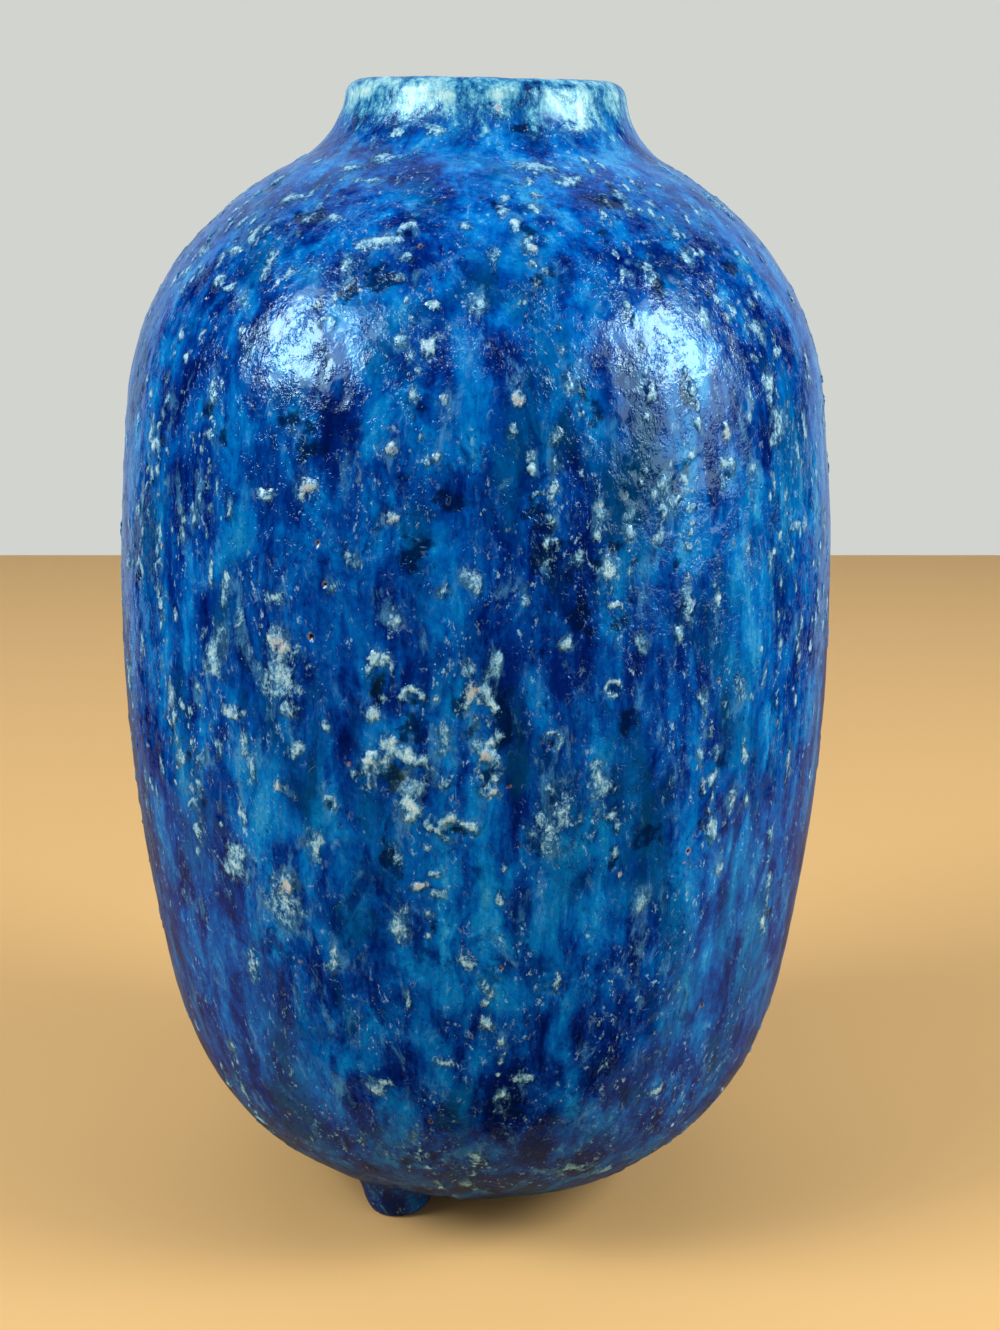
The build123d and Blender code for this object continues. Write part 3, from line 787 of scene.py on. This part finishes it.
def darkHoles(g, hole, grains, crumbs, colour, look):
    # pinholes with a broken tan edge, and dark hollows in the craters
    edge = g.sum("MULTIPLY", g.fade(g.around(crumbs, 1.6, hole), 0.2, 0.7), g.fade(hole, 0.04, 0.2))
    colour = g.mix(g.sum("MULTIPLY", edge, 0.45), colour, look["warm"])
    colour = g.mix(g.fade(g.around(grains, 0.6, hole), 0.4, 0.8), colour, look["hollow"])
    hollow = g.fade(g.around(grains, 1.0, g.around(crumbs, 1.6, g.field("pit"))), 0.3, 0.95)
    return g.mix(g.sum("MULTIPLY", hollow, 0.85), colour, look["hollow"])


def glazeGloss(g, flowing, neck, mask, look):
    # glossy flats, broken by patches of fine grain and creases
    smooth, rough = look["roughness"]
    duller = g.sum("MULTIPLY_ADD", neck, look["neckDuller"], smooth)
    g.put(g.coat.inputs["Roughness"], g.sum("MULTIPLY_ADD", mask, rough - smooth, duller))
    g.put(g.coat.inputs["IOR"], look["refraction"])
    g.put(g.coat.inputs["Specular Tint"], look["sheen"])
    gritty = g.fade(g.noise(flowing, 4.5, 4, 0.7), 0.44, 0.62)
    grit = g.fade(g.noise(flowing, 0.75, 2, 0.6, up=0.7), 0.48, 0.7)
    grit = g.sum("MULTIPLY", grit, g.sum("MAXIMUM", gritty, mask))
    creases = g.noise(flowing, 1.9, 3, 0.62, 0.8, up=0.7)
    height = g.sum("MULTIPLY_ADD", g.noise(flowing, 4, 1, 0.5), 1.4, g.sum("MULTIPLY", grit, -0.8))
    height = g.sum("MULTIPLY_ADD", creases, g.sum("MULTIPLY_ADD", gritty, 0.8, 0.3), height)
    g.put(g.coat.inputs["Normal"], g.bump(height, look["relief"]))


def glazeFinish(name, look):
    g = Finish(name)  # g for glaze
    flowing = g.field("flow", "Vector")
    crustField, neck, hole = g.field("crust"), g.field("neck"), g.field("hole")
    grain = g.noise(flowing, 0.9, 3, 0.65)
    crumbs = g.noise(flowing, 1.9, 6, 0.8, 0.8, up=0.62)
    grains = g.noise(flowing, 0.65, 3, 0.7, 0.4, up=0.8)
    colour = mottledBlue(g, flowing, grain, crustField, look)
    colour = paleChips(g, flowing, crumbs, colour, look)
    colour, crustColour, mask = laidCrusts(g, crustField, grains, crumbs, colour, look)
    colour = neckBand(g, flowing, grain, neck, colour, look)
    # the crusts on the neck lie over its pale glaze
    onNeck = g.sum("MULTIPLY", mask, g.fade(neck, 0, 0.2))
    colour = g.mix(g.sum("MULTIPLY", onNeck, 0.8), colour, crustColour)
    colour = darkHoles(g, hole, grains, crumbs, colour, look)
    g.put(g.coat.inputs["Base Color"], colour)
    glazeGloss(g, flowing, neck, mask, look)
    return g.material


clayLook = {
    "body": tone(206, 190, 164),
    "stain": tone(178, 156, 126),
    "grit": tone(150, 128, 100),
    "gritShare": 0.5,
    "roughness": 0.82,
    "relief": 0.12,
}
slipLook = {**clayLook, "body": tone(188, 168, 138), "gritShare": 0.3}


def clayFinish(name, look):
    c = Finish(name)  # c for clay
    place = c.node("TexCoord").outputs["Object"]
    stains = c.fade(c.noise(place, 9, 4, 0.6), 0.4, 0.65)
    grit = c.sum("MULTIPLY", c.fade(c.noise(place, 0.8, 3, 0.7), 0.62, 0.7), look["gritShare"])
    colour = c.mix(grit, c.mix(stains, look["body"], look["stain"]), look["grit"])
    c.put(c.coat.inputs["Base Color"], colour)
    c.put(c.coat.inputs["Roughness"], look["roughness"])
    c.put(c.coat.inputs["Normal"], c.bump(c.noise(place, 0.5, 4, 0.7), look["relief"]))
    return c.material


insideLook = {
    "depths": [(0.3, tone(10, 84, 132)), (0.5, tone(34, 128, 172)), (0.7, tone(116, 186, 212))],
    "speck": tone(160, 205, 220),
    "roughness": (0.16, 0.3),
    "relief": 0.3,
}


def insideFinish(name, look):
    g = Finish(name)
    place = g.node("TexCoord").outputs["Object"]
    colour = g.ramp(g.noise(place, 8, 5, 0.65, up=0.3), look["depths"])
    colour = g.mix(g.fade(g.noise(place, 1.2, 3, 0.6), 0.66, 0.72), colour, look["speck"])
    g.put(g.coat.inputs["Base Color"], colour)
    smooth, rough = look["roughness"]
    dull = g.sum("MULTIPLY_ADD", g.noise(place, 3, 3, 0.6), rough - smooth, smooth)
    g.put(g.coat.inputs["Roughness"], dull)
    g.put(g.coat.inputs["Normal"], g.bump(g.noise(place, 4, 3, 0.5), look["relief"]))
    return g.material


glaze = glazeFinish("mottledBlueGlaze", blueGlaze)
clay = clayFinish("bareClay", clayLook)
slip = clayFinish("joiningSlip", slipLook)
insideGlaze = insideFinish("thinInsideGlaze", insideLook)
for piece in (bodyGlaze, neckGlaze, paleCrusts, feetGlaze):
    piece.data.materials.append(glaze)
finishes = {
    "lower_wall": clay, "upper_wall": clay, "neck_collar": clay,
    "foot_1": clay, "foot_2": clay, "foot_3": clay,
    "belly_slip": slip, "neck_slip": slip, "feet_slip": slip, "inner_glaze": insideGlaze,
}
for node, finish in finishes.items():
    for slot in nodes[node].material_slots:
        slot.material = finish

for piece, node, slot in (
    (bodyGlaze, "outer_glaze", "blue_glaze"), (neckGlaze, "neck_glaze", "rim_glaze"),
    (feetGlaze, "feet_glaze", "blue_glaze"), (paleCrusts, "pale_crusts", "crust_glaze"),
):
    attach(piece, "root")
    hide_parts(node)
print("finishes laid")


# The floor and the wall behind

room = {
    "floor": tone(238, 188, 124),
    "floorMirrored": tone(126, 102, 74),  # its darker tone where the glaze mirrors it, a painted reflection
    "floorRoughness": 0.6,
    "floorShine": 0.2,
    "floorSide": 1.6,
    "floorBack": 0.714,
    "floorFront": -1.9,
    "nearSide": 0.3,      # the glaze mirrors only this part of the floor, which ends in front of the jar
    "nearFront": -0.075,
    "wall": tone(210, 212, 207),
    # painted reflection: the wall's bluer tone where the glaze mirrors it
    "wallMirrored": tone(158, 182, 212),
    "wallDistance": 0.74,
    "wallWidth": 1.5,
    "wallHeights": (-0.4, 1.9),
}


def plate(name, corners, finish):
    piece = meshPiece(name, np.array(corners) / mm, np.array([[0, 1, 2, 3]]))
    piece.data.materials.append(finish.material)
    return piece


def floorFinish(room):
    f = Finish("paleFloor")
    mirrored = f.node("LightPath").outputs["Is Glossy Ray"]
    # painted reflection: where the glaze mirrors the floor, the floor shows darker than it is
    f.put(f.coat.inputs["Base Color"], f.mix(mirrored, room["floor"], room["floorMirrored"]))
    f.put(f.coat.inputs["Roughness"], room["floorRoughness"])
    f.put(f.coat.inputs["Specular IOR Level"], room["floorShine"])
    return f


def wallFinish(room):
    # seen and mirrored, but it lights nothing; where the glaze mirrors it, it shows bluer, a painted
    # reflection
    w = Finish("paleWall")
    w.tree.nodes.remove(w.coat)
    rays = w.node("LightPath").outputs
    seen = w.sum("MAXIMUM", rays["Is Camera Ray"], rays["Is Glossy Ray"])
    seen = w.sum("MAXIMUM", seen, rays["Is Transmission Ray"])
    colour = w.mix(rays["Is Glossy Ray"], room["wall"], room["wallMirrored"])
    glow = w.node("Emission", {"Color": colour, "Strength": seen})
    w.tree.links.new(glow.outputs[0], w.tree.nodes["Material Output"].inputs["Surface"])
    return w


def buildRoom(room):
    side, near, front, back = room["floorSide"], room["nearSide"], room["nearFront"], room["floorBack"]
    pale = floorFinish(room)
    floors = []
    for name, x0, x1, y0, y1 in (
        ("floor", -near, near, front, back), ("floorLeft", -side, -near, front, back),
        ("floorRight", near, side, front, back), ("floorFront", -side, side, room["floorFront"], front),
    ):
        floors.append(plate(name, [(x0, y0, 0), (x1, y0, 0), (x1, y1, 0), (x0, y1, 0)], pale))
        floors[-1].visible_glossy = name == "floor"
    half, y, (low, high) = room["wallWidth"] / 2, room["wallDistance"], room["wallHeights"]
    corners = [(-half, y, low), (half, y, low), (half, y, high), (-half, y, high)]
    wall = plate("backWall", corners, wallFinish(room))


buildRoom(room)


# Soft studio light: a softbox with a brighter middle to either side, a small strip and a dim fill.
# Each lamp faces a point of the jar ("from", in millimetres) and stands "distance" metres away from
# it, "towards" so many degrees round and up.

light = {
    "leftSoftbox": {
        "from": (-29, -59, 185), "towards": (-153, 34), "distance": 1.3, "size": (0.88, 0.8), "glow": 3.6,
    },
    "leftCore": {
        "from": (-29, -59, 185), "towards": (-157, 32), "distance": 1.25, "size": (0.52, 0.48), "glow": 12.4,
    },
    "rightSoftbox": {
        "from": (38, -57, 180), "towards": (-19, 22), "distance": 1.0, "size": (0.8, 0.9), "glow": 2.6,
    },
    "rightCore": {
        "from": (38, -57, 180), "towards": (-17, 30), "distance": 0.95, "size": (0.35, 0.37), "glow": 13,
    },
    "strip": {
        "from": (-6, -60, 181), "towards": (-92, 40), "distance": 1.2, "size": (0.24, 0.05), "glow": 10,
    },
}
fill = {  # not mirrored in the glaze
    "topFill": {
        "from": (0, 0, 110), "towards": (100, 82), "distance": 1.3, "size": (1.3, 1.3), "glow": 0.42,
    },
    "backFill": {
        "from": (0, 0, 110), "towards": (90, 40), "distance": 0.85, "size": (1.2, 0.8), "glow": 0.7,
    },
}
evenStrength = 0.12  # of the light that comes from everywhere
coolWhite = (0.9, 0.98, 1.0)


def softbox(name, lamp, seenInGlaze=True):
    turn, rise = (math.radians(angle) for angle in lamp["towards"])
    way = Vector((math.cos(turn) * math.cos(rise), math.sin(turn) * math.cos(rise), math.sin(rise)))
    data = bpy.data.lights.new(name, "AREA")
    data.shape = "RECTANGLE"
    data.size, data.size_y = lamp["size"]
    data.energy = lamp["glow"] * math.pi * data.size * data.size_y
    data.color = coolWhite
    box = bpy.data.objects.new(name, data)
    box.location = Vector(lamp["from"]) * mm + way * lamp["distance"]
    box.rotation_euler = way.to_track_quat("Z", "Y").to_euler()
    box.visible_glossy = seenInGlaze
    box.visible_camera = False
    bpy.context.scene.collection.objects.link(box)


for name, lamp in light.items():
    softbox(name, lamp)
for name, lamp in fill.items():
    softbox(name, lamp, seenInGlaze=False)


def evenFill(room, strength):
    # the world lights softly from everywhere, and shows as the wall
    world = bpy.data.worlds.new("studio")
    bpy.context.scene.world = world
    world.use_nodes = True
    tree = world.node_tree
    rays = tree.nodes.new("ShaderNodeLightPath")
    pick = tree.nodes.new("ShaderNodeMix")
    pick.data_type = "RGBA"
    pick.inputs[6].default_value = (strength, strength, strength, 1)
    pick.inputs[7].default_value = room["wall"]
    tree.links.new(rays.outputs["Is Camera Ray"], pick.inputs["Factor"])
    tree.links.new(pick.outputs[2], tree.nodes["Background"].inputs["Color"])
    world.cycles_visibility.glossy = False


evenFill(room, evenStrength)

viewpoint = {"place": (0.0048, -0.416, 0.215), "down": 13.84, "lens": 55.5}
eye = bpy.data.cameras.new("eye")
eye.lens = viewpoint["lens"]
camera = bpy.data.objects.new("eye", eye)
camera.location = viewpoint["place"]
camera.rotation_euler = (math.radians(90 - viewpoint["down"]), 0, 0)
bpy.context.scene.collection.objects.link(camera)
bpy.context.scene.camera = camera
bpy.context.scene.view_settings.view_transform = "Standard"
print("room, light and camera set")
